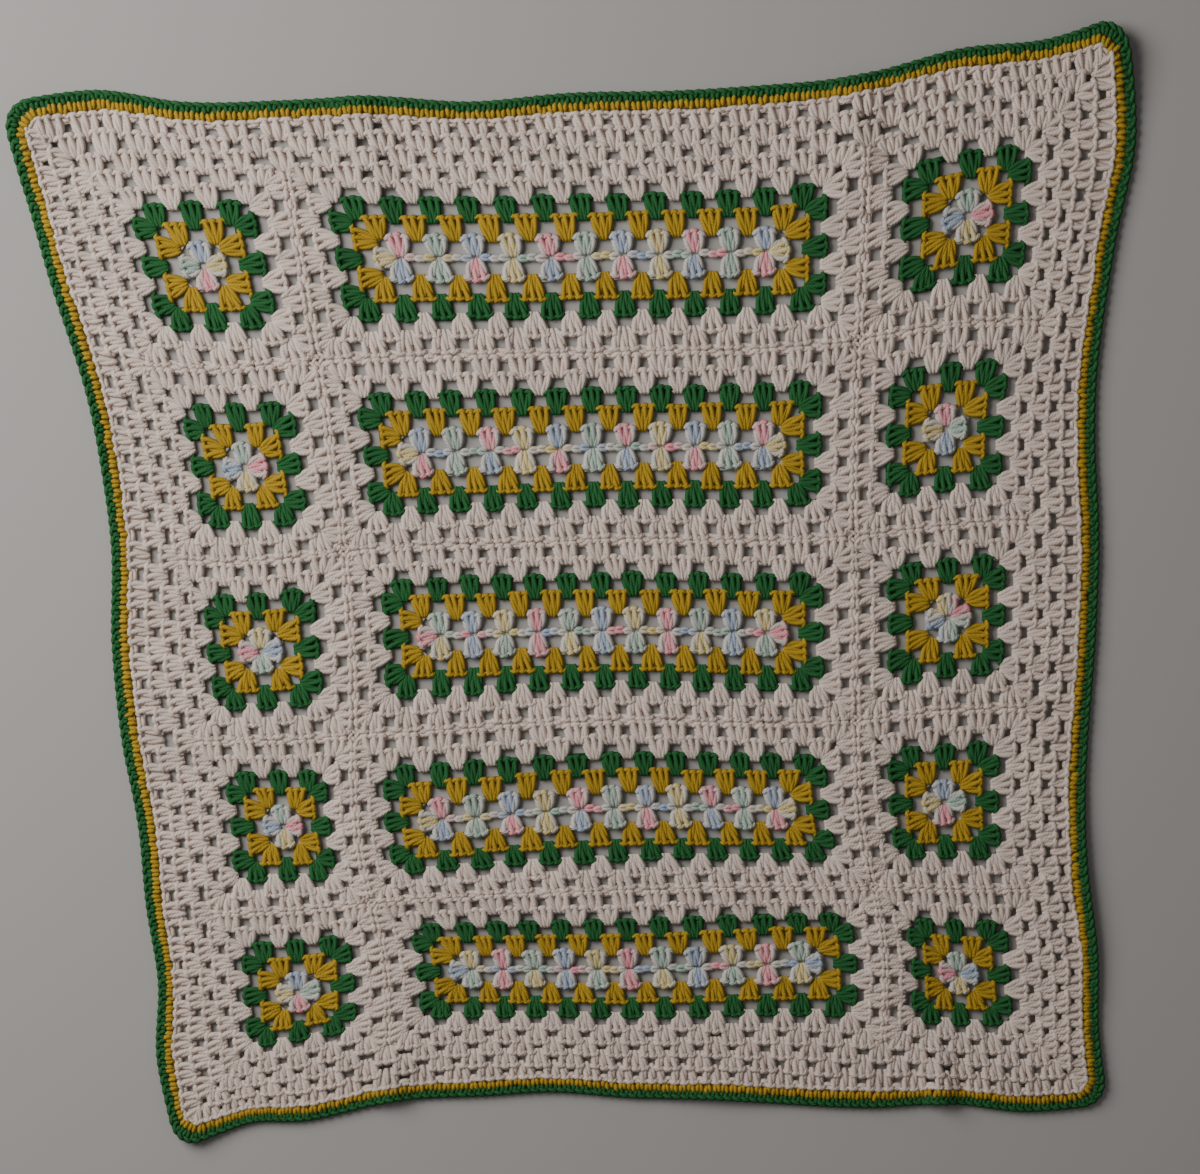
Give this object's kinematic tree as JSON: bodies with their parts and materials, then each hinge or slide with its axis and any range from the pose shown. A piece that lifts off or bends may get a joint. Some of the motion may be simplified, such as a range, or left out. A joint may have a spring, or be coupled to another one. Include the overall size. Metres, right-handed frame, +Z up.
{
  "type": "crochet blanket",
  "caption": "Crochet granny blanket laid flat: coloured granny squares and long granny rectangles joined in white, with a white border and narrow yellow and green edgings.",
  "frame": {"origin": "middle of the blanket's box, on the surface that it lies on", "axes": "+X to the right and +Y to the top of the blanket as seen from above, +Z up out of its face"},
  "size_m": [0.7911, 0.7854, 0.0139],
  "materials": {
    "white_yarn": "soft matte worsted yarn in double crochet",
    "gold_yarn": "soft matte worsted yarn in single crochet",
    "green_yarn": "soft matte worsted yarn in single crochet",
    "pastel_yarn": "soft matte variegated worsted yarn in double crochet"
  },
  "bodies": {
    "root": {"square_left_1": "white_yarn", "rectangle_1": "white_yarn", "square_right_1": "white_yarn", "square_left_2": "white_yarn", "rectangle_2": "white_yarn", "square_right_2": "white_yarn", "square_left_3": "white_yarn", "rectangle_3": "white_yarn", "square_right_3": "white_yarn", "square_left_4": "white_yarn", "rectangle_4": "white_yarn", "square_right_4": "white_yarn", "square_left_5": "white_yarn", "rectangle_5": "white_yarn", "square_right_5": "white_yarn", "border": "white_yarn", "edging_gold": "gold_yarn", "edging_green": "green_yarn"}
  },
  "joints": []
}
